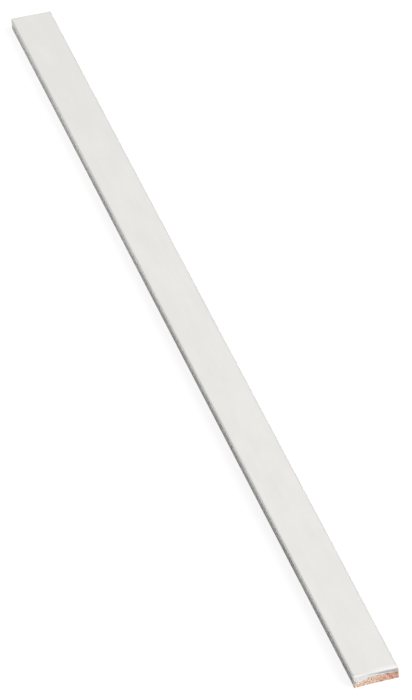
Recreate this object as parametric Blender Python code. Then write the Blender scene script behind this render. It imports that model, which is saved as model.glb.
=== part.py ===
"""A tinned copper busbar: one length of flat bar with rolled edges, cropped to length at both ends.

Metres, +Z up. The bar lies flat on Z = 0 with its length along Y, and the origin is under its middle.
The near end, at -Y, is the cut that shows. There the crop dragged the top edge down in a roll, a
smooth land stands below it, and under an uneven tear line the metal broke away and leans back to the
underside, where the copper is bare. The far end was the other side of the last crop, so it has the same
marks upside down. Neither cut is quite square.
"""

from dataclasses import dataclass
from math import copysign, exp, pi, radians, sin, sqrt, tan

import bmesh
import bpy

# The bar
WIDTH = 0.010
THICKNESS = 0.003
LENGTH = 0.300
EDGE_RADIUS = 0.0005  # the rolled corners of a 3 mm flat bar

# Every cut
ROLL_DEPTH = 0.0006  # how far the cut drags the top edge down, at the middle of the width
ROLL_LENGTH = 0.0011  # how far back from the cut the top starts to bend
CUT_ZONE = 0.0030  # length over which the bar takes up the shape of its cut
BREAK_STEP = 0.00012  # how far the break drops back under the tear line
BREAK_EDGE = 0.00025  # height of that step
BREAK_LEAN = radians(5.0)  # the break leans back towards the underside
TEAR_RIPPLE = 0.00006  # the tear line wavers by this much each way
TEAR_RIPPLE_PITCH = 0.0019
FILL_LENGTH = 0.0011  # the burr squares up corners over this length
DRAG_WIDTH = 0.0015  # how much of the width takes part where the cut draws a side in

# The mesh
CORNER_CELLS = 3  # cells along each side of a corner block, so twice as many facets on an edge
WIDTH_CELLS = 27  # across the flat of the width
BREAK_CELLS = 4  # up the break, from the lower corners to the foot of its step
EDGE_CELLS = 2  # up the step
LAND_CELLS = 4  # from the tear line to the upper corners
ROLL_STEPS = 6  # rings round the roll
ZONE_STEPS = 2  # rings from the roll to the plain bar

TIN_COLOUR = (0.80, 0.79, 0.77, 1.0)
TIN_ROUGHNESS = 0.38
COPPER_COLOUR = (0.86, 0.55, 0.42, 1.0)
COPPER_ROUGHNESS = 0.5
SMOOTH_ANGLE = radians(30.0)


@dataclass(frozen=True)
class Cut:
    """The marks of one cropped end. Places run across the width, seen by someone who faces that end."""

    side: int  # -1 for the near end and 1 for the far one
    upside_down: bool  # the roll is on the underside and the metal broke out at the top
    skew: float  # angle out of square: the right side is the shorter one, or the left if this is negative
    roll_taper: float  # how much deeper the roll is at the right side than at the left
    left_drag: float  # how far the cut draws the left side in
    right_drag: float
    land_height: float  # from the roll down to the tear line, at the middle of the width
    land_taper: float  # how much shorter the land is at the right side than at the left
    tongue_place: float  # where the land reaches lowest, as a tongue
    tongue_drop: float
    tongue_width: float
    left_fill: float  # how far the burr squares up the corner where the metal broke out, from 0 to 1
    right_fill: float


NEAR_CUT = Cut(
    side=-1,
    upside_down=False,
    skew=radians(0.4),
    roll_taper=0.0002,
    left_drag=0.0002,
    right_drag=0.0,
    land_height=0.00047,
    land_taper=-0.00004,
    tongue_place=-0.0035,
    tongue_drop=0.00078,
    tongue_width=0.0014,
    left_fill=0.6,
    right_fill=0.8,
)
FAR_CUT = Cut(
    side=1,
    upside_down=True,
    skew=radians(-2.8),
    roll_taper=-0.00015,
    left_drag=0.0001,
    right_drag=0.00015,
    land_height=0.00085,
    land_taper=-0.0003,
    tongue_place=0.0021,
    tongue_drop=0.0003,
    tongue_width=0.0011,
    left_fill=0.2,
    right_fill=0.7,
)


def clear_scene():
    for thing in list(bpy.data.objects):
        bpy.data.objects.remove(thing, do_unlink=True)


def smooth_step(value):
    """Rises from 0 to 1 as value does, with no slope at either end."""
    value = min(max(value, 0.0), 1.0)
    return value * value * (3.0 - 2.0 * value)


def even_stops(start, end, cells):
    """Even stops from start to end, with both of them."""
    return [start + (end - start) * k / cells for k in range(cells + 1)]


def width_stops():
    """Stops across the section: a corner block at each side and even cells between them."""
    half = WIDTH / 2
    flat = half - EDGE_RADIUS
    return (
        even_stops(-half, -flat, CORNER_CELLS)
        + even_stops(-flat, flat, WIDTH_CELLS)[1:-1]
        + even_stops(flat, half, CORNER_CELLS)
    )


def height_stops():
    """Stops up the section. The one at half the thickness becomes the tear line at a cut."""
    middle = THICKNESS / 2
    foot = middle - BREAK_EDGE
    low = EDGE_RADIUS
    high = THICKNESS - EDGE_RADIUS
    return (
        even_stops(0.0, low, CORNER_CELLS)
        + even_stops(low, foot, BREAK_CELLS)[1:]
        + even_stops(foot, middle, EDGE_CELLS)[1:]
        + even_stops(middle, high, LAND_CELLS)[1:]
        + even_stops(high, THICKNESS, CORNER_CELLS)[1:]
    )


def rounded(across, height, fill):
    """Moves a point of the square-cornered section into the round-cornered one.

    Inside a corner block the square goes onto a quarter disc, so its outer sides fall on the arc. fill
    takes the corner back towards the square, from 0 for the full round to 1.
    """
    up = height - THICKNESS / 2
    centre_across = WIDTH / 2 - EDGE_RADIUS
    centre_up = THICKNESS / 2 - EDGE_RADIUS
    a = max(0.0, abs(across) - centre_across) / EDGE_RADIUS
    b = max(0.0, abs(up) - centre_up) / EDGE_RADIUS
    if a == 0.0 or b == 0.0:
        return across, height
    cut_off = 1.0 - fill
    out = centre_across + EDGE_RADIUS * a * (1.0 - cut_off * (1.0 - sqrt(1.0 - b * b / 2.0)))
    rise = centre_up + EDGE_RADIUS * b * (1.0 - cut_off * (1.0 - sqrt(1.0 - a * a / 2.0)))
    return copysign(out, across), THICKNESS / 2 + copysign(rise, up)


def roll_angles():
    return [0.5 * pi * k / ROLL_STEPS for k in range(ROLL_STEPS + 1)]


def ring_depths():
    """How far back from a cut each ring of the mesh lies, from the plain bar to the cut."""
    run = CUT_ZONE - ROLL_LENGTH
    zone = [ROLL_LENGTH + run * (1.0 - k / ZONE_STEPS) for k in range(ZONE_STEPS)]
    return zone + [ROLL_LENGTH * (1.0 - sin(angle)) for angle in roll_angles()]


def rolled(depth):
    """Rises from 0 on the plain bar to 1 at the cut, along a quarter ellipse that ends upright."""
    reach = max(0.0, 1.0 - depth / ROLL_LENGTH)
    return 1.0 - sqrt(max(0.0, 1.0 - reach * reach))


def roll_depth(cut, across):
    """How far below the plain bar's top the roll ends."""
    return ROLL_DEPTH + cut.roll_taper * across / WIDTH


def side_drag(cut, across, depth):
    """How far the cut moves this point across as it draws the sides in, which rounds them off towards it."""
    left = max(0.0, 1.0 - (WIDTH / 2 + across) / DRAG_WIDTH)
    right = max(0.0, 1.0 - (WIDTH / 2 - across) / DRAG_WIDTH)
    return rolled(depth) * (cut.left_drag * left - cut.right_drag * right)


def set_back(cut, across, depth):
    """How far this point moves back to put the cut out of square. The longest side keeps its length."""
    run = (CUT_ZONE - depth) / (CUT_ZONE - ROLL_LENGTH)
    return (tan(abs(cut.skew)) * WIDTH / 2 + tan(cut.skew) * across) * smooth_step(run)


def land_height(cut, across):
    """Height of the land from the roll down to the tear line."""
    tongue = cut.tongue_drop * exp(-(((across - cut.tongue_place) / cut.tongue_width) ** 2))
    ripple = TEAR_RIPPLE * sin(2.0 * pi * across / TEAR_RIPPLE_PITCH)
    return cut.land_height - cut.land_taper * across / WIDTH + tongue - ripple


def between(value, knots, places):
    """Reads value, given along knots, on the straight stretches that join places."""
    for (low, high), (start, end) in zip(zip(knots, knots[1:]), zip(places, places[1:])):
        if value <= high:
            return start + (end - start) * (value - low) / (high - low)
    return value


def cut_height(tear, height):
    """Where a height of the plain section comes to lie at a cut whose tear line is at tear."""
    middle = THICKNESS / 2
    knots = (0.0, EDGE_RADIUS, middle - BREAK_EDGE, middle, THICKNESS - EDGE_RADIUS, THICKNESS)
    places = (0.0, EDGE_RADIUS, tear - BREAK_EDGE, tear, THICKNESS - EDGE_RADIUS, THICKNESS)
    return between(height, knots, places)


def break_depth(below):
    """How far the broken metal lies behind the land, this far below the tear line."""
    return BREAK_STEP * smooth_step(below / BREAK_EDGE) + max(0.0, below) * tan(BREAK_LEAN)


def corner_fill(cut, across, level, depth):
    """How far the burr squares up the corner at this point of the section."""
    if level > THICKNESS / 2:
        return 0.0
    fill = cut.left_fill if across < 0.0 else cut.right_fill
    return fill * max(0.0, 1.0 - depth / FILL_LENGTH)


def shaped(cut, place):
    """Where a point of the square-cornered bar comes to lie, on the half that ends in this cut.

    Levels count from the face where the metal broke out, which is the top at a cut that is upside down.
    """
    depth = LENGTH / 2 - cut.side * place.y
    share = max(0.0, 1.0 - depth / CUT_ZONE)
    across = -cut.side * place.x
    level = THICKNESS - place.z if cut.upside_down else place.z
    across, level = rounded(across, level, corner_fill(cut, across, level, depth))
    tear = THICKNESS - roll_depth(cut, across) - land_height(cut, across)
    height = level + share * (cut_height(tear, level) - level)
    above = max(0.0, height - tear) / (THICKNESS - tear)
    level = height - roll_depth(cut, across) * rolled(depth) * above
    back = share * break_depth(tear - height) + set_back(cut, across, depth)
    across += side_drag(cut, across, depth)
    return (-cut.side * across, place.y - cut.side * back, THICKNESS - level if cut.upside_down else level)


def shape_bar(bm):
    """Rounds the square-cornered bar's long edges and gives each end its cut."""
    for vert in bm.verts:
        vert.co = shaped(NEAR_CUT if vert.co.y < 0.0 else FAR_CUT, vert.co)


def bare_faces(bm):
    """The end faces on the broken side of the tear line, which is still straight on the unshaped bar."""
    faces = []
    for face in bm.faces:
        middle = face.calc_center_median()
        if abs(middle.y) < LENGTH / 2 - CUT_ZONE or abs(face.normal.y) < 0.5:
            continue
        cut = NEAR_CUT if middle.y < 0.0 else FAR_CUT
        level = THICKNESS - middle.z if cut.upside_down else middle.z
        if level < THICKNESS / 2:
            faces.append(face)
    return faces


def section_grid(bm):
    """A flat grid on the XZ plane at the far end, with the stops of the bar's section."""
    columns = width_stops()
    rows = height_stops()
    bmesh.ops.create_grid(bm, x_segments=len(columns) - 1, y_segments=len(rows) - 1, size=1.0)
    for vert in bm.verts:
        column = round((vert.co.x + 1.0) / 2.0 * (len(columns) - 1))
        row = round((vert.co.y + 1.0) / 2.0 * (len(rows) - 1))
        vert.co = (columns[column], LENGTH / 2, rows[row])
    return list(bm.faces)


def extrude_bar(bm, section):
    """Extrudes the section from the far end to the near one, with a ring at each station."""
    depths = ring_depths()
    stations = [LENGTH / 2 - depth for depth in reversed(depths)]
    stations += [depth - LENGTH / 2 for depth in depths]
    moving = section
    for last, station in zip(stations, stations[1:]):
        made = bmesh.ops.extrude_face_region(bm, geom=moving)
        if moving is not section:
            bmesh.ops.delete(bm, geom=moving, context="FACES")
        verts = [item for item in made["geom"] if isinstance(item, bmesh.types.BMVert)]
        moving = [item for item in made["geom"] if isinstance(item, bmesh.types.BMFace)]
        bmesh.ops.translate(bm, verts=verts, vec=(0.0, station - last, 0.0))


def metal(name, colour, roughness):
    material = bpy.data.materials.new(name)
    material.use_nodes = True
    shader = material.node_tree.nodes["Principled BSDF"]
    shader.inputs["Base Color"].default_value = colour
    shader.inputs["Metallic"].default_value = 1.0
    shader.inputs["Roughness"].default_value = roughness
    return material


def make_busbar():
    bm = bmesh.new()
    extrude_bar(bm, section_grid(bm))
    bmesh.ops.recalc_face_normals(bm, faces=bm.faces)
    for face in bare_faces(bm):
        face.material_index = 1
    shape_bar(bm)
    mesh = bpy.data.meshes.new("busbar")
    bm.to_mesh(mesh)
    bm.free()
    mesh.materials.append(metal("tinned_copper", TIN_COLOUR, TIN_ROUGHNESS))
    mesh.materials.append(metal("bare_copper", COPPER_COLOUR, COPPER_ROUGHNESS))
    mesh.shade_smooth()
    mesh.set_sharp_from_angle(angle=SMOOTH_ANGLE)
    bar = bpy.data.objects.new("busbar", mesh)
    bpy.context.scene.collection.objects.link(bar)
    return bar


def main():
    clear_scene()
    make_busbar()


main()
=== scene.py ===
"""Looks of the tinned copper busbar: its satin tin, its rolled edges and its two cropped ends."""

from dataclasses import dataclass
from math import cos, copysign, exp, pi, radians, sin, sqrt, tan

import bmesh
import bpy
from mathutils import Matrix, Vector, noise


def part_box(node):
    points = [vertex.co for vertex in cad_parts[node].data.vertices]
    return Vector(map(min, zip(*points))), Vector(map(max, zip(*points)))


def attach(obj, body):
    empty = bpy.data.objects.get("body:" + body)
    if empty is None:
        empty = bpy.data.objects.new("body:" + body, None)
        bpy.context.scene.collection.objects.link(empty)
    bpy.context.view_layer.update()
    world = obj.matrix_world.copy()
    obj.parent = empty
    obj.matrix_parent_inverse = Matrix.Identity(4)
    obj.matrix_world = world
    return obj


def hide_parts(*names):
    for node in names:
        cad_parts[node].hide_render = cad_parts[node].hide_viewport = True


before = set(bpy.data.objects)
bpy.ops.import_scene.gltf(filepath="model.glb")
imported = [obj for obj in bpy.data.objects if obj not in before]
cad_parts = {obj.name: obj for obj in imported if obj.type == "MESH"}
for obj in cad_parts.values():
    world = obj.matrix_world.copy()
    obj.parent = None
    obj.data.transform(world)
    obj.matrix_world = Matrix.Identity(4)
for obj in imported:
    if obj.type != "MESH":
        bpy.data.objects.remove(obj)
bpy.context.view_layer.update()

MM = 0.001

# The bar, from its solid
LOW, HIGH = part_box("busbar")
WIDTH = HIGH.x - LOW.x
LENGTH = HIGH.y - LOW.y
THICKNESS = HIGH.z - LOW.z
EDGE_RADIUS = 0.5 * MM

# The marks of a cut that both ends share, as on the solid
ROLL_DEPTH = 0.6 * MM
ROLL_LENGTH = 1.1 * MM
CUT_ZONE = 3.0 * MM
BREAK_STEP = 0.12 * MM
BREAK_EDGE = 0.25 * MM
BREAK_LEAN = radians(5.0)
TEAR_RIPPLE = 0.06 * MM
TEAR_RIPPLE_PITCH = 1.9 * MM
FILL_LENGTH = 1.1 * MM
DRAG_WIDTH = 1.5 * MM

# Fine relief of the cuts
LAND_SWELL = 0.07 * MM  # the smeared tin stands proud of the land just above the tear line
LAND_LEAST = 0.1 * MM  # the swell runs out over no less than this
JAG_HEIGHT = 0.07 * MM  # small teeth of the tear line
JAG_WIDTH = 0.35 * MM
JAG_LAYERS = (0.8, 2.0, 3)  # the noise's fall-off, its step in fineness and how many layers it has
FACET_DEPTH = 0.07 * MM  # broad shell-like facets of the break
FACET_SIZE = 1.1 * MM
STREAK_DEPTH = 0.04 * MM  # torn streaks that run down the break
STREAK_WIDTH = 0.22 * MM
STREAK_LENGTH = 0.8 * MM
STREAK_LAYERS = (0.9, 2.1, 4)
STREAK_SHIFT = 5.0
ROUGH_FROM = 0.60 * MM  # the facets fade out below this height
BURR_REACH = 0.12 * MM  # lip at the foot of the break
BURR_HEIGHT = 0.30 * MM
BULGE = 0.5  # share of the break's depth that is missing at its left corner
BULGE_WIDTH = 1.2 * MM
FOOT_DRAG = 0.35  # share of the side drag that is left at the foot of the break
DROOP_DEPTH = 0.05 * MM  # the edge over the break is a little worn down
DROOP_LENGTH = 0.6 * MM
WAVE_DEPTH = 0.012 * MM  # the drawn faces aren't dead flat
WAVE_LENGTH = 38.0 * MM
WAVE_WIDTH = 8.0 * MM
WAVE_EASE = 10.0 * MM  # and they come to nothing over this length before a cut

# The mesh
CORNER_CELLS = 8
WIDTH_CELLS = 112
BREAK_CELLS = 13
STEP_CELLS = 4
LAND_CELLS = 12
ROLL_STEPS = 16
ZONE_STEPS = 10
PLAIN_STEPS = 24
SHARP_ANGLE = radians(50.0)

# The flat map to bake the looks through, in shares of its side
MAP_NAME = "OFBake"
MAP_EDGE = 0.02
MAP_STRIP_TOP = 0.64  # the four long faces fill the map below this
MAP_ZONE_WIDE = 0.16  # room for the last millimetres by each cut
MAP_END_FOOT = 0.68  # the two cut ends lie side by side above this
MAP_END_WIDE = 0.45
MAP_END_HIGH = 0.28
TOUCH = 0.001 * MM  # points closer to a plane than this lie in it


@dataclass(frozen=True)
class Cut:
    """The marks of one cropped end. Places run across the width, seen by someone who faces that end."""

    side: int
    upside_down: bool
    skew: float
    roll_taper: float
    left_drag: float
    right_drag: float
    land_height: float
    land_taper: float
    tongue_place: float
    tongue_drop: float
    tongue_width: float
    left_fill: float
    right_fill: float
    seed: float


NEAR_CUT = Cut(
    side=-1,
    upside_down=False,
    skew=radians(0.4),
    roll_taper=0.2 * MM,
    left_drag=0.2 * MM,
    right_drag=0.0,
    land_height=0.47 * MM,
    land_taper=-0.04 * MM,
    tongue_place=-3.5 * MM,
    tongue_drop=0.78 * MM,
    tongue_width=1.4 * MM,
    left_fill=0.95,  # the burr squares up this corner a little more than the solid does
    right_fill=0.8,
    seed=3.0,
)
FAR_CUT = Cut(
    side=1,
    upside_down=True,
    skew=radians(-2.8),
    roll_taper=-0.15 * MM,
    left_drag=0.1 * MM,
    right_drag=0.15 * MM,
    land_height=0.85 * MM,
    land_taper=-0.3 * MM,
    tongue_place=2.1 * MM,
    tongue_drop=0.3 * MM,
    tongue_width=1.1 * MM,
    left_fill=0.2,
    right_fill=0.7,
    seed=11.0,
)


def smooth_step(value):
    """Rises from 0 to 1 as value does, with no slope at either end."""
    value = min(max(value, 0.0), 1.0)
    return value * value * (3.0 - 2.0 * value)


def even_stops(start, end, cells):
    return [start + (end - start) * k / cells for k in range(cells + 1)]


def width_stops():
    half = WIDTH / 2
    flat = half - EDGE_RADIUS
    return (
        even_stops(-half, -flat, CORNER_CELLS)
        + even_stops(-flat, flat, WIDTH_CELLS)[1:-1]
        + even_stops(flat, half, CORNER_CELLS)
    )


def height_stops():
    """Stops up the section. The one at half the thickness becomes the tear line at a cut."""
    middle = THICKNESS / 2
    foot = middle - BREAK_EDGE
    low = EDGE_RADIUS
    high = THICKNESS - EDGE_RADIUS
    return (
        even_stops(0.0, low, CORNER_CELLS)
        + even_stops(low, foot, BREAK_CELLS)[1:]
        + even_stops(foot, middle, STEP_CELLS)[1:]
        + even_stops(middle, high, LAND_CELLS)[1:]
        + even_stops(high, THICKNESS, CORNER_CELLS)[1:]
    )


def rounded(across, height, fill):
    """Moves a point of the square-cornered section into the round-cornered one."""
    up = height - THICKNESS / 2
    centre_across = WIDTH / 2 - EDGE_RADIUS
    centre_up = THICKNESS / 2 - EDGE_RADIUS
    a = max(0.0, abs(across) - centre_across) / EDGE_RADIUS
    b = max(0.0, abs(up) - centre_up) / EDGE_RADIUS
    if a == 0.0 or b == 0.0:
        return across, height
    cut_off = 1.0 - fill
    out = centre_across + EDGE_RADIUS * a * (1.0 - cut_off * (1.0 - sqrt(1.0 - b * b / 2.0)))
    rise = centre_up + EDGE_RADIUS * b * (1.0 - cut_off * (1.0 - sqrt(1.0 - a * a / 2.0)))
    return copysign(out, across), THICKNESS / 2 + copysign(rise, up)


def section_grid(bm):
    """A flat grid at the far end, with the stops of the bar's section."""
    columns = width_stops()
    rows = height_stops()
    bmesh.ops.create_grid(bm, x_segments=len(columns) - 1, y_segments=len(rows) - 1, size=1.0)
    for vert in bm.verts:
        column = round((vert.co.x + 1.0) / 2.0 * (len(columns) - 1))
        row = round((vert.co.y + 1.0) / 2.0 * (len(rows) - 1))
        vert.co = (columns[column], LENGTH / 2, rows[row])
    return list(bm.faces)


def ring_depths():
    """How far back from a cut each ring of the mesh lies, from the plain bar to the cut."""
    zone = even_stops(CUT_ZONE, ROLL_LENGTH, ZONE_STEPS)[:-1]
    angles = even_stops(0.0, pi / 2, ROLL_STEPS)
    return zone + [ROLL_LENGTH * (1.0 - sin(angle)) for angle in angles]


def draw_out(bm, section):
    """Draws the section out from the far cut to the near one, with a ring at each station."""
    depths = ring_depths()
    far = [LENGTH / 2 - depth for depth in reversed(depths)]
    plain = even_stops(far[-1], -far[-1], PLAIN_STEPS)[1:-1]
    near = [depth - LENGTH / 2 for depth in depths]
    stations = far + plain + near
    moving = section
    for last, station in zip(stations, stations[1:]):
        made = bmesh.ops.extrude_face_region(bm, geom=moving)
        if moving is not section:
            bmesh.ops.delete(bm, geom=moving, context="FACES")
        verts = [item for item in made["geom"] if isinstance(item, bmesh.types.BMVert)]
        moving = [item for item in made["geom"] if isinstance(item, bmesh.types.BMFace)]
        bmesh.ops.translate(bm, verts=verts, vec=(0.0, station - last, 0.0))


def along_map(y):
    """Where a station of the bar lies across the map, with more room by each cut."""
    inner = LENGTH / 2 - CUT_ZONE
    if abs(y) <= inner:
        share = (0.5 - MAP_ZONE_WIDE) * y / inner
    else:
        share = copysign(0.5 - MAP_ZONE_WIDE * (LENGTH / 2 - abs(y)) / CUT_ZONE, y)
    return 0.5 + (1.0 - 2.0 * MAP_EDGE) * share


def around_map(place, middle):
    """Where a point of a long face lies up the map, going round from the lower left edge."""
    if middle.z < TOUCH:
        way = place.x + WIDTH / 2
    elif middle.x > WIDTH / 2 - TOUCH:
        way = WIDTH + place.z
    elif middle.z > THICKNESS - TOUCH:
        way = WIDTH + THICKNESS + WIDTH / 2 - place.x
    else:
        way = 2.0 * (WIDTH + THICKNESS) - place.z
    return MAP_EDGE + (MAP_STRIP_TOP - MAP_EDGE) * way / (2.0 * (WIDTH + THICKNESS))


def on_end_map(place):
    """Where a point of a cut end lies on the map."""
    start = MAP_EDGE if place.y < 0.0 else 1.0 - MAP_EDGE - MAP_END_WIDE
    across = start + MAP_END_WIDE * (place.x / WIDTH + 0.5)
    return across, MAP_END_FOOT + MAP_END_HIGH * place.z / THICKNESS


def lay_out_map(bm):
    """Unwraps the square-cornered bar: one strip for its long faces and a piece for each end."""
    layer = bm.loops.layers.uv.new(MAP_NAME)
    for face in bm.faces:
        middle = face.calc_center_median()
        on_end = LENGTH / 2 - abs(middle.y) < TOUCH
        for loop in face.loops:
            place = loop.vert.co
            long_face = (along_map(place.y), around_map(place, middle))
            loop[layer].uv = on_end_map(place) if on_end else long_face


def rolled(depth):
    """Rises from 0 on the plain bar to 1 at the cut, along a quarter ellipse that ends upright."""
    reach = max(0.0, 1.0 - depth / ROLL_LENGTH)
    return 1.0 - sqrt(max(0.0, 1.0 - reach * reach))


def roll_depth(cut, across):
    return ROLL_DEPTH + cut.roll_taper * across / WIDTH


def side_drag(cut, across, level, depth):
    """How far the cut moves this point across as it draws the sides in, most of all under the roll."""
    left = max(0.0, 1.0 - (WIDTH / 2 + across) / DRAG_WIDTH)
    right = max(0.0, 1.0 - (WIDTH / 2 - across) / DRAG_WIDTH)
    share = FOOT_DRAG + (1.0 - FOOT_DRAG) * smooth_step(2.0 * level / THICKNESS)
    return share * rolled(depth) * (cut.left_drag * left - cut.right_drag * right)


def set_back(cut, across, depth):
    """How far this point moves back to put the cut out of square."""
    run = (CUT_ZONE - depth) / (CUT_ZONE - ROLL_LENGTH)
    return (tan(abs(cut.skew)) * WIDTH / 2 + tan(cut.skew) * across) * smooth_step(run)


def land_height(cut, across):
    """Height of the land from the roll down to the tear line, with the tear line's small teeth."""
    tongue = cut.tongue_drop * exp(-(((across - cut.tongue_place) / cut.tongue_width) ** 2))
    ripple = TEAR_RIPPLE * sin(2.0 * pi * across / TEAR_RIPPLE_PITCH)
    jags = JAG_HEIGHT * noise.fractal(Vector((across / JAG_WIDTH, cut.seed, 0.0)), *JAG_LAYERS)
    return cut.land_height - cut.land_taper * across / WIDTH + tongue - ripple + jags


def between(value, knots, places):
    """Carries value over from the knots to the places that go with them, in straight runs."""
    for (low, high), (start, end) in zip(zip(knots, knots[1:]), zip(places, places[1:])):
        if value <= high:
            return start + (end - start) * (value - low) / (high - low)
    return value


def cut_height(tear, height):
    """Where a height of the plain section comes to lie at a cut whose tear line is at tear."""
    middle = THICKNESS / 2
    knots = (0.0, EDGE_RADIUS, middle - BREAK_EDGE, middle, THICKNESS - EDGE_RADIUS, THICKNESS)
    places = (0.0, EDGE_RADIUS, tear - BREAK_EDGE, tear, THICKNESS - EDGE_RADIUS, THICKNESS)
    return between(height, knots, places)


def torn_relief(cut, across, height):
    """Depth of the facets and streaks in the broken metal."""
    facet = noise.noise(Vector((across / FACET_SIZE, height / FACET_SIZE, cut.seed)))
    streak_at = Vector((across / STREAK_WIDTH, height / STREAK_LENGTH, cut.seed + STREAK_SHIFT))
    streak = noise.fractal(streak_at, *STREAK_LAYERS)
    return FACET_DEPTH * facet + STREAK_DEPTH * streak


def by_left_corner(across):
    """Falls from 1 at the left corner of a cut to 0 well inside it."""
    return exp(-(((across + WIDTH / 2) / BULGE_WIDTH) ** 2))


def break_depth(cut, tear, across, height):
    """How far the broken metal lies behind the land."""
    below = max(0.0, tear - height)
    ramp = smooth_step(below / BREAK_EDGE)
    lip = BURR_REACH * exp(-((height / BURR_HEIGHT) ** 2))
    rough = torn_relief(cut, across, height) * ramp * smooth_step(height / ROUGH_FROM)
    plain = (BREAK_STEP * ramp + below * tan(BREAK_LEAN)) * (1.0 - BULGE * by_left_corner(across))
    return max(0.0, plain + rough - lip * ramp)


def land_depth(tear, foot, height):
    """How far the land lies behind the smeared lip at the tear line."""
    if height <= tear:
        return 0.0
    return LAND_SWELL * smooth_step((height - tear) / max(foot - tear, LAND_LEAST))


def edge_droop(across, level, depth):
    """How far the edge where the metal broke out is worn in."""
    near = smooth_step(1.0 - level / EDGE_RADIUS) * (1.0 - by_left_corner(across))
    return DROOP_DEPTH * near * max(0.0, 1.0 - depth / DROOP_LENGTH) ** 2


def corner_fill(cut, across, level, depth):
    """How far the burr squares up the corner at this point of the section."""
    if level > THICKNESS / 2:
        return 0.0
    fill = cut.left_fill if across < 0.0 else cut.right_fill
    return fill * max(0.0, 1.0 - depth / FILL_LENGTH)


def shaped(cut, place):
    """Where a point of the square-cornered bar comes to lie, and how far down the marks of the cut it is.

    Levels count from the face where the metal broke out, which is the top at a cut that is upside down.
    """
    depth = max(0.0, LENGTH / 2 - cut.side * place.y)
    share = max(0.0, 1.0 - depth / CUT_ZONE)
    across = -cut.side * place.x
    square_level = THICKNESS - place.z if cut.upside_down else place.z
    across, level = rounded(across, square_level, corner_fill(cut, across, square_level, depth))
    foot = THICKNESS - roll_depth(cut, across)
    tear = foot - land_height(cut, across)
    height = level + share * (cut_height(tear, level) - level)
    above = max(0.0, height - tear) / (THICKNESS - tear)
    level = height - roll_depth(cut, across) * rolled(depth) * above + edge_droop(across, height, depth)
    back = share * (break_depth(cut, tear, across, height) + land_depth(tear, foot, level))
    back += set_back(cut, across, depth)
    x = -cut.side * (across + side_drag(cut, across, level, depth))
    y = cut.side * (LENGTH / 2 - depth - back)
    z = THICKNESS - level if cut.upside_down else level
    on_cut = depth < TOUCH
    on_roll = depth < ROLL_LENGTH and square_level > THICKNESS - EDGE_RADIUS
    below_tear = (tear - height) / MM if on_cut else -1.0
    down_land = (foot - level) / MM if on_cut or on_roll else -1.0
    return (x, y, z), below_tear, down_land


def shape_bar(bm, below_layer, land_layer):
    """Rounds the long edges, gives each end its cut, and marks the points for the material."""
    for vert in bm.verts:
        cut = NEAR_CUT if vert.co.y < 0.0 else FAR_CUT
        vert.co, vert[below_layer], vert[land_layer] = shaped(cut, vert.co.copy())


def drawn_waves(bm):
    """Makes the long faces wander inwards by about a hundredth of a millimetre, as drawn faces do."""
    for vert in bm.verts:
        if abs(vert.co.y) > LENGTH / 2 - CUT_ZONE:
            continue
        place = Vector((vert.co.x / WAVE_WIDTH, vert.co.y / WAVE_LENGTH, vert.co.z / WAVE_WIDTH))
        dip = WAVE_DEPTH * (0.5 + 0.5 * noise.noise(place))
        ease = smooth_step((LENGTH / 2 - CUT_ZONE - abs(vert.co.y)) / WAVE_EASE)
        if vert.co.z > THICKNESS / 2:
            vert.co.z -= dip * ease
        inward = -copysign(dip * ease, vert.co.x) if abs(vert.co.x) > WIDTH / 2 - EDGE_RADIUS else 0.0
        vert.co.x += inward


def add(tree, kind, sockets=None, **settings):
    """Adds a node, sets its settings, and fills or links its sockets."""
    node = tree.nodes.new(kind)
    for name, value in settings.items():
        setattr(node, name, value)
    for name, value in (sockets or {}).items():
        if isinstance(value, bpy.types.NodeSocket):
            tree.links.new(value, node.inputs[name])
        else:
            node.inputs[name].default_value = value
    return node


def maths(tree, operation, first, second=0.0, third=0.0, clamp=False):
    node = add(tree, "ShaderNodeMath", {0: first, 1: second, 2: third}, operation=operation)
    node.use_clamp = clamp
    return node.outputs[0]


def spread(tree, value, low, high, bottom=0.0, top=1.0):
    """Maps value from low..high onto bottom..top and holds it there."""
    sockets = {"Value": value, "From Min": low, "From Max": high, "To Min": bottom, "To Max": top}
    return add(tree, "ShaderNodeMapRange", sockets, clamp=True).outputs[0]


def blend(tree, share, first, second):
    node = add(tree, "ShaderNodeMix", {"Factor": share}, data_type="RGBA")
    for socket, value in ((node.inputs[6], first), (node.inputs[7], second)):
        if isinstance(value, bpy.types.NodeSocket):
            tree.links.new(value, socket)
        else:
            socket.default_value = value
    return node.outputs[2]


def stretched_noise(tree, place, size, detail=3.0, turn=(0.0, 0.0, 0.0)):
    """Noise whose blots are size metres along each axis, after a turn."""
    turned = add(tree, "ShaderNodeMapping", {"Vector": place, "Rotation": turn})
    scale = tuple(1.0 / length for length in size)
    sized = add(tree, "ShaderNodeMapping", {"Vector": turned.outputs[0], "Scale": scale})
    sockets = {"Vector": sized.outputs[0], "Scale": 1.0, "Detail": detail, "Roughness": 0.55}
    return add(tree, "ShaderNodeTexNoise", sockets).outputs["Fac"]


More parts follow.
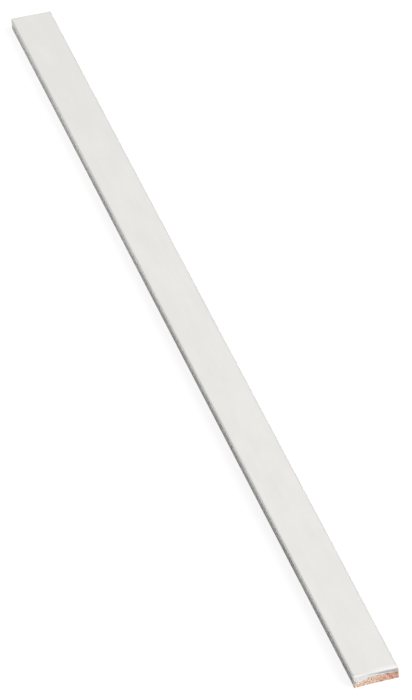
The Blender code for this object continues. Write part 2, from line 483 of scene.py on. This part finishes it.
# Satin tin. A pattern's size is the length of its blots along X, Y and Z
TIN_PALE = (0.850, 0.840, 0.812, 1.0)
TIN_DULL = (0.800, 0.793, 0.770, 1.0)
TIN_ROUGHNESS = 0.36
CLOUD_SIZE = (4 * MM, 13 * MM, 4 * MM)
CLOUD_ROUGHNESS = 0.035  # the clouds move the roughness this far either way
LINE_SIZE = (0.11 * MM, 45 * MM, 0.11 * MM)  # left by drawing the bar
LINE_SHARE = 0.35  # of the tone; the clouds have the rest
LINE_HEIGHT = 0.55  # of the relief; the grain has the rest
GRAIN_SIZE = (0.07 * MM, 0.07 * MM, 0.07 * MM)
HAIR_SIZE = (0.05 * MM, 9 * MM, 0.05 * MM)  # scratches that run nearly along the bar
HAIR_TURN = radians(14)
HAIR_SHOWS = (0.72, 0.80)  # levels of the noise between which a scratch comes in
CROSS_HAIR_SIZE = (7 * MM, 0.06 * MM, 7 * MM)  # scratches that run across it
CROSS_HAIR_TURN = radians(-31)
CROSS_HAIR_SHOWS = (0.75, 0.82)
SCRATCH_SHINE = 0.08
SCRATCH_DEPTH = 0.8
TONE_RANGE = (0.38, 0.62)
FAR_SHADE_PART = (60 * MM, 150 * MM)  # painted shade: the far part of the bar is drawn a little darker
FAR_SHADE_DROP = 0.13
SATIN_RELIEF = 0.004 * MM
SATIN_STRENGTH = 0.8

# Tin by a cut. Levels count in millimetres down from the foot of the roll, places across in metres
# painted reflection: the dark band just under the roll, drawn darker than tin
TIN_DARK_REFLECTION = (0.60, 0.605, 0.61, 1.0)
# smeared tin, drawn paler than tin so that it also holds painted sheen
TIN_SMEAR_AND_SHEEN = (0.99, 0.99, 0.975, 1.0)
# painted shade on the roll, darkest at the left, that weakens its highlight there
TIN_ROLL_SHADE = (0.738, 0.733, 0.715, 1.0)
DRAG_SIZE = (0.10 * MM, 0.5 * MM, 0.9 * MM)  # streaks that the blade dragged down the land
ROLL_LEVELS = (-0.60, -0.45)
ROLL_SHADE_PART = (-3.0 * MM, 3.5 * MM)
LAND_LEVELS = (-0.14, -0.04)
HIGH_SMEAR_SHEEN_PART = (-3.6 * MM, -1.0 * MM)  # at the left the pale smear colour begins higher, on the foot of the roll, as painted light over the dark reflection there
HIGH_SMEAR_SHEEN = 0.17
DARK_REFLECTION_PART = (-1.8 * MM, 4.9 * MM)
DARK_REFLECTION_FULL_FROM = 0.45  # share of that part
DARK_REFLECTION_LEAST = 0.1
DARK_REFLECTION_HEIGHT = 0.46  # at the right; it narrows to the left
DARK_REFLECTION_END = 0.02
SMEAR_EDGE = 0.06
SMEAR_RAGGED = 0.2

# Bare copper
COPPER_PALE = (0.98, 0.765, 0.585, 1.0)
COPPER_RED = (0.80, 0.375, 0.245, 1.0)
COPPER_DARK = (0.46, 0.21, 0.13, 1.0)
# painted highlight: glints on the facets of the break
COPPER_PAINTED_GLINT = (1.0, 0.93, 0.82, 1.0)
COPPER_SMOOTHEST = 0.20
COPPER_ROUGHEST = 0.42
BLOTCH_SIZE = (0.55 * MM, 0.5 * MM, 0.7 * MM)
BLOTCH_RANGE = (0.42, 0.58)
BLOTCH_PALENESS = 0.30
FLECK_SIZE = (0.36 * MM, 0.3 * MM, 0.55 * MM)
FLECK_TURN = radians(25)
FLECK_RANGE = (0.50, 0.60)
FLECK_SHARE = 0.9
FLECK_HEIGHT = 0.6  # of the relief; the blotches have the rest
GLINT_SIZE = (0.40 * MM, 0.3 * MM, 0.50 * MM)
GLINT_TURN = radians(-40)
GLINT_RANGE = (0.50, 0.58)
GLINT_LEAST = 0.35  # at the right
COMB_SIZE = (0.17 * MM, 0.3 * MM, 1.0 * MM)  # torn streaks that run down the break
COMB_PALENESS = 0.4
COMB_LEAST = 0.3  # at the left
LEFT_PALENESS = 0.76  # the copper is paler towards the left
TORN_RELIEF = 0.19 * MM
TORN_STRENGTH = 0.9
CALM_FROM = 0.1 * MM  # the relief fades out this close to the foot and the head of the bar
CALM_TO = 0.5 * MM
TEAR_RAGGED = 0.05  # millimetres, as the tear line's edge
TEAR_EDGE = (-0.01, 0.04)


def satin_tin(tree, place, split):
    """Pale clouds, drawn lines, a few scratches and a painted shade over the far part. Gives the colour,
    the roughness and the relief.
    """
    clouds = stretched_noise(tree, place, CLOUD_SIZE, 4.0)
    lines = stretched_noise(tree, place, LINE_SIZE, 3.0)
    grain = stretched_noise(tree, place, GRAIN_SIZE, 2.0)
    hair = stretched_noise(tree, place, HAIR_SIZE, 1.0, (0.0, 0.0, HAIR_TURN))
    cross_hair = stretched_noise(tree, place, CROSS_HAIR_SIZE, 1.0, (0.0, 0.0, CROSS_HAIR_TURN))
    hairs = spread(tree, hair, *HAIR_SHOWS)
    scratches = maths(tree, "MAXIMUM", hairs, spread(tree, cross_hair, *CROSS_HAIR_SHOWS))

    clouded = maths(tree, "MULTIPLY", clouds, 1.0 - LINE_SHARE)
    tone = maths(tree, "MULTIPLY_ADD", lines, LINE_SHARE, clouded)
    # painted shade: the tone drops over the far part of the bar
    tone = maths(tree, "SUBTRACT", tone, spread(tree, split.outputs["Y"], *FAR_SHADE_PART, 0.0, FAR_SHADE_DROP))
    colour = blend(tree, spread(tree, tone, *TONE_RANGE), TIN_DULL, TIN_PALE)

    rough = spread(tree, clouds, 0.3, 0.7, -CLOUD_ROUGHNESS, CLOUD_ROUGHNESS)
    rough = maths(tree, "ADD", rough, TIN_ROUGHNESS)
    rough = maths(tree, "MULTIPLY_ADD", scratches, -SCRATCH_SHINE, rough)

    relief = maths(tree, "MULTIPLY", grain, 1.0 - LINE_HEIGHT)
    relief = maths(tree, "MULTIPLY_ADD", lines, LINE_HEIGHT, relief)
    relief = maths(tree, "MULTIPLY_ADD", scratches, -SCRATCH_DEPTH, relief)
    return colour, rough, relief


def tin_by_cut(tree, split, drag, tin):
    """Tin with painted shade on the roll towards the left, a painted dark reflection just under the roll,
    and a smear over the tear line whose pale colour also holds painted sheen.
    """
    land = add(tree, "ShaderNodeAttribute", attribute_name="down_land").outputs["Fac"]
    on_roll = spread(tree, land, *ROLL_LEVELS)
    # painted shade: the roll is drawn darker towards the left
    roll_shade = maths(tree, "MULTIPLY", on_roll, spread(tree, split.outputs["X"], *ROLL_SHADE_PART, 1.0, 0.0))
    tin = blend(tree, roll_shade, tin, TIN_ROLL_SHADE)

    # partly painted light: at the left the pale smear colour reaches up onto the roll
    smear_sheen_up = spread(tree, split.outputs["X"], *HIGH_SMEAR_SHEEN_PART, HIGH_SMEAR_SHEEN, 0.0)
    on_land = spread(tree, maths(tree, "ADD", land, smear_sheen_up), *LAND_LEVELS)
    rightward = spread(tree, split.outputs["X"], *DARK_REFLECTION_PART)
    smear_start = maths(tree, "MULTIPLY_ADD", rightward, DARK_REFLECTION_HEIGHT, DARK_REFLECTION_END)
    smear = spread(tree, maths(tree, "SUBTRACT", land, smear_start), -SMEAR_EDGE, SMEAR_EDGE)
    streaks = spread(tree, drag, 0.35, 0.65, -SMEAR_RAGGED, SMEAR_RAGGED)
    smear = maths(tree, "ADD", smear, streaks, clamp=True)
    # painted reflection: the dark band is full at the right and fades towards the left
    dark_share = spread(tree, rightward, 0.0, DARK_REFLECTION_FULL_FROM, DARK_REFLECTION_LEAST, 1.0)
    dark_reflection = blend(tree, dark_share, TIN_SMEAR_AND_SHEEN, TIN_DARK_REFLECTION)
    return blend(tree, on_land, tin, blend(tree, smear, dark_reflection, TIN_SMEAR_AND_SHEEN))


def broken_copper(tree, place, split):
    """Torn metal with dark flecks and painted glints. Gives the colour, the roughness and the relief."""
    blotch = stretched_noise(tree, place, BLOTCH_SIZE, 6.0)
    fleck = stretched_noise(tree, place, FLECK_SIZE, 6.0, (0.0, FLECK_TURN, 0.0))
    glint_noise = stretched_noise(tree, place, GLINT_SIZE, 5.0, (0.0, GLINT_TURN, 0.0))
    comb = stretched_noise(tree, place, COMB_SIZE, 2.0)
    leftward = spread(tree, split.outputs["X"], -WIDTH / 2, WIDTH / 2, 1.0, 0.0)

    blotched = maths(tree, "MULTIPLY", spread(tree, blotch, *BLOTCH_RANGE), BLOTCH_PALENESS)
    paleness = maths(tree, "MULTIPLY_ADD", leftward, LEFT_PALENESS, blotched)
    combed = spread(tree, comb, 0.35, 0.65, -COMB_PALENESS, COMB_PALENESS)
    combed = maths(tree, "MULTIPLY", combed, spread(tree, leftward, 0.3, 0.7, 1.0, COMB_LEAST))
    paleness = maths(tree, "ADD", paleness, combed, clamp=True)
    colour = blend(tree, paleness, COPPER_RED, COPPER_PALE)
    colour = blend(tree, spread(tree, fleck, *FLECK_RANGE, 0.0, FLECK_SHARE), colour, COPPER_DARK)
    # painted highlight: glints, strongest at the left
    glints = spread(tree, leftward, 0.1, 0.9, GLINT_LEAST, 1.0)
    glints = maths(tree, "MULTIPLY", spread(tree, glint_noise, *GLINT_RANGE), glints)
    colour = blend(tree, glints, colour, COPPER_PAINTED_GLINT)

    rough = spread(tree, fleck, 0.3, 0.7, COPPER_SMOOTHEST, COPPER_ROUGHEST)
    relief = maths(tree, "MULTIPLY", blotch, 1.0 - FLECK_HEIGHT)
    relief = maths(tree, "MULTIPLY_ADD", fleck, FLECK_HEIGHT, relief)
    return colour, rough, relief


def calm_edges(tree, split):
    """Falls to 0 at the foot and at the head of the bar, where the relief would fray the outline."""
    foot = spread(tree, split.outputs["Z"], CALM_FROM, CALM_TO)
    head = spread(tree, split.outputs["Z"], THICKNESS - CALM_TO, THICKNESS - CALM_FROM, 1.0, 0.0)
    return maths(tree, "MULTIPLY", foot, head)


def tinned_copper():
    """Satin tin everywhere, and bare copper where the metal broke under the tear line of a cut."""
    material = bpy.data.materials.new("tinned_copper")
    material.use_nodes = True
    tree = material.node_tree
    shader = tree.nodes["Principled BSDF"]
    place = add(tree, "ShaderNodeTexCoord").outputs["Object"]
    split = add(tree, "ShaderNodeSeparateXYZ", {"Vector": place})
    drag = stretched_noise(tree, place, DRAG_SIZE, 3.0)

    tin, tin_rough, satin = satin_tin(tree, place, split)
    tin = tin_by_cut(tree, split, drag, tin)
    copper, copper_rough, torn = broken_copper(tree, place, split)

    below = add(tree, "ShaderNodeAttribute", attribute_name="below_tear").outputs["Fac"]
    ragged = maths(tree, "MULTIPLY_ADD", spread(tree, drag, 0.3, 0.7, -1.0, 1.0), TEAR_RAGGED, below)
    bare = spread(tree, ragged, *TEAR_EDGE)
    colour = blend(tree, bare, tin, copper)
    rough_sockets = {"Factor": bare, 2: tin_rough, 3: copper_rough}
    rough = add(tree, "ShaderNodeMix", rough_sockets, data_type="FLOAT").outputs[0]

    satin_sockets = {"Height": satin, "Distance": SATIN_RELIEF, "Strength": SATIN_STRENGTH}
    satin_bump = add(tree, "ShaderNodeBump", satin_sockets).outputs[0]
    torn = maths(tree, "MULTIPLY", maths(tree, "MULTIPLY", torn, bare), calm_edges(tree, split))
    torn_sockets = {"Height": torn, "Distance": TORN_RELIEF, "Strength": TORN_STRENGTH}
    torn_bump = add(tree, "ShaderNodeBump", {**torn_sockets, "Normal": satin_bump}).outputs[0]

    tree.links.new(colour, shader.inputs["Base Color"])
    tree.links.new(rough, shader.inputs["Roughness"])
    tree.links.new(torn_bump, shader.inputs["Normal"])
    shader.inputs["Metallic"].default_value = 1.0
    return material


def make_bar():
    bm = bmesh.new()
    below_layer = bm.verts.layers.float.new("below_tear")
    land_layer = bm.verts.layers.float.new("down_land")
    draw_out(bm, section_grid(bm))
    lay_out_map(bm)
    shape_bar(bm, below_layer, land_layer)
    drawn_waves(bm)
    bmesh.ops.recalc_face_normals(bm, faces=bm.faces)
    mesh = bpy.data.meshes.new("tinned_bar")
    bm.to_mesh(mesh)
    bm.free()
    mesh.materials.append(tinned_copper())
    mesh.shade_smooth()
    mesh.set_sharp_from_angle(angle=SHARP_ANGLE)
    bar = bpy.data.objects.new("tinned_bar", mesh)
    bpy.context.scene.collection.objects.link(bar)
    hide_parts("busbar")
    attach(bar, "root")


# The floor
WHITE = (1.0, 1.0, 1.0, 1.0)
FLOOR_HALF = 6.0
FLOOR_PALE = (0.60, 0.60, 0.60, 1.0)  # for bounced light
FLOOR_MIRRORED = (0.73, 0.73, 0.73, 1.0)  # pale paper, as the metal shows it
FLOOR_RIGHT = (0.95, 0.95, 0.95, 1.0)  # the same, to the right of the bar
FLOOR_RIGHT_FROM = 8.0 * MM
FLOOR_RIGHT_TO = 11.0 * MM
FLOOR_SEEN = (1.30, 1.30, 1.30, 1.0)  # as the camera sees it
FLOOR_GLOW = 0.86  # share of even white in what the camera sees, so that the shadow stays pale


def by_ray(tree, bounced, mirrored, seen):
    """A colour for bounced light, one for what metal or glass shows, and one for the camera."""
    path = add(tree, "ShaderNodeLightPath")
    shown = maths(tree, "MAXIMUM", path.outputs["Is Glossy Ray"], path.outputs["Is Transmission Ray"])
    return blend(tree, path.outputs["Is Camera Ray"], blend(tree, shown, bounced, mirrored), seen)


def studio_floor():
    bm = bmesh.new()
    bmesh.ops.create_grid(bm, x_segments=1, y_segments=1, size=FLOOR_HALF)
    mesh = bpy.data.meshes.new("studio_floor")
    bm.to_mesh(mesh)
    bm.free()
    material = bpy.data.materials.new("studio_floor")
    material.use_nodes = True
    tree = material.node_tree
    tree.nodes.remove(tree.nodes["Principled BSDF"])
    place = add(tree, "ShaderNodeTexCoord").outputs["Object"]
    split = add(tree, "ShaderNodeSeparateXYZ", {"Vector": place})
    rightward = spread(tree, split.outputs["X"], FLOOR_RIGHT_FROM, FLOOR_RIGHT_TO)
    mirrored = blend(tree, rightward, FLOOR_MIRRORED, FLOOR_RIGHT)
    colour = by_ray(tree, FLOOR_PALE, mirrored, FLOOR_SEEN)
    paper = add(tree, "ShaderNodeBsdfDiffuse", {"Color": colour})
    glow = add(tree, "ShaderNodeEmission", {"Color": WHITE, "Strength": 1.0})
    share = maths(tree, "MULTIPLY", add(tree, "ShaderNodeLightPath").outputs["Is Camera Ray"], FLOOR_GLOW)
    seen = add(tree, "ShaderNodeMixShader", {0: share, 1: paper.outputs[0], 2: glow.outputs[0]})
    tree.links.new(seen.outputs[0], tree.nodes["Material Output"].inputs["Surface"])
    mesh.materials.append(material)
    floor = bpy.data.objects.new("studio_floor", mesh)
    bpy.context.scene.collection.objects.link(floor)


# The sky. What ends in FROM or TO is the sine of an elevation
SKY_BOUNCED = 0.25
SKY_HORIZON = 0.54
SKY_MIDDLE = 1.05
SKY_MIDDLE_FROM = 0.53
SKY_HIGH = 1.17
SKY_HIGH_FROM = 0.85
SKY_HIGHEST_FROM = 0.98
SKY_LEFT = 0.72  # the left of the sky, next to the rest
SKY_SIDES = (-0.8, 0.1)  # where the left is darkest, and where it ends
FRONT_HORIZON = 0.42  # the sky in front, which the roll and the land of the near cut show
FRONT_HIGH = 1.24
FRONT_DARK_TO = 0.25
FRONT_BRIGHT_FROM = 0.52
FRONT_EDGE = -0.35  # it is full beyond this share of the way to -Y, and gone at the sides

# The lamps
KEY_LEVEL = 0.80
KEY_FROM = Vector((0.62, -0.52, 0.54))
KEY_SPREAD = radians(50.0)
FILL_PLACE = Vector((-0.17, 0.27, 0.14))
FILL_AIM = Vector((0.0, 0.15, 0.0))
FILL_SIZE = 0.16
FILL_POWER = 0.24


def studio_sky():
    """A soft sky, brighter overhead and darker to the left. Most of the floor's light is the key's."""
    world = bpy.data.worlds.new("studio")
    world.use_nodes = True
    tree = world.node_tree
    towards = add(tree, "ShaderNodeTexCoord").outputs["Generated"]
    split = add(tree, "ShaderNodeSeparateXYZ", {"Vector": towards})
    low = spread(tree, split.outputs["Z"], 0.0, SKY_MIDDLE_FROM, SKY_HORIZON, SKY_MIDDLE)
    high = spread(tree, split.outputs["Z"], SKY_HIGH_FROM, SKY_HIGHEST_FROM, 0.0, SKY_HIGH - SKY_MIDDLE)
    level = maths(tree, "ADD", low, high)
    front = spread(tree, split.outputs["Z"], FRONT_DARK_TO, FRONT_BRIGHT_FROM, FRONT_HORIZON, FRONT_HIGH)
    forward = spread(tree, split.outputs["Y"], FRONT_EDGE, 0.0, 1.0, 0.0)
    level = add(tree, "ShaderNodeMix", {0: forward, 2: level, 3: front}, data_type="FLOAT").outputs[0]
    level = maths(tree, "MULTIPLY", level, spread(tree, split.outputs["X"], *SKY_SIDES, SKY_LEFT, 1.0))
    grey = add(tree, "ShaderNodeCombineColor", {"Red": level, "Green": level, "Blue": level}).outputs[0]
    dim = (SKY_BOUNCED, SKY_BOUNCED, SKY_BOUNCED, 1.0)
    tree.links.new(by_ray(tree, dim, grey, WHITE), tree.nodes["Background"].inputs["Color"])
    bpy.context.scene.world = world


def fill_light():
    """A weak lamp that opens up the shadow by the far end."""
    fill = bpy.data.lights.new("fill", "AREA")
    fill.size = FILL_SIZE
    fill.energy = FILL_POWER
    lamp = bpy.data.objects.new("fill", fill)
    lamp.location = FILL_PLACE
    lamp.rotation_euler = (FILL_PLACE - FILL_AIM).to_track_quat("Z", "Y").to_euler()
    lamp.visible_glossy = False
    lamp.visible_camera = False
    bpy.context.scene.collection.objects.link(lamp)


def key_light():
    key = bpy.data.lights.new("key", "SUN")
    direction = KEY_FROM.normalized()
    key.energy = pi * KEY_LEVEL / direction.z
    key.angle = KEY_SPREAD
    lamp = bpy.data.objects.new("key", key)
    lamp.rotation_euler = direction.to_track_quat("Z", "Y").to_euler()
    lamp.visible_glossy = False
    bpy.context.scene.collection.objects.link(lamp)


# The camera, from a fit to the bar's outline in the photograph
PHOTO_LONG_SIDE = 700
FOCAL_PIXELS = 7830.0
SENSOR = 36.0
LOOKS_AT = Vector((0.813, -8.998, 0.0)) * MM
DISTANCE = 1.7683
TURN = radians(11.89)  # to the right of the bar's length
TILT = radians(32.27)  # down
ROLL = radians(6.176)  # clockwise
CLIP_FROM = 0.05
CLIP_TO = 50.0


def photo_camera():
    data = bpy.data.cameras.new("camera")
    data.sensor_width = SENSOR
    data.lens = FOCAL_PIXELS / PHOTO_LONG_SIDE * SENSOR
    data.clip_start = CLIP_FROM
    data.clip_end = CLIP_TO
    camera = bpy.data.objects.new("camera", data)
    forward = Vector((sin(TURN) * cos(TILT), cos(TURN) * cos(TILT), -sin(TILT)))
    level = forward.to_track_quat("-Z", "Y").to_matrix().to_4x4()
    stand = Matrix.Translation(LOOKS_AT - forward * DISTANCE)
    camera.matrix_world = stand @ level @ Matrix.Rotation(-ROLL, 4, "Z")
    bpy.context.scene.collection.objects.link(camera)
    bpy.context.scene.camera = camera


make_bar()
studio_floor()
studio_sky()
key_light()
fill_light()
photo_camera()
bpy.context.scene.view_settings.view_transform = "Standard"
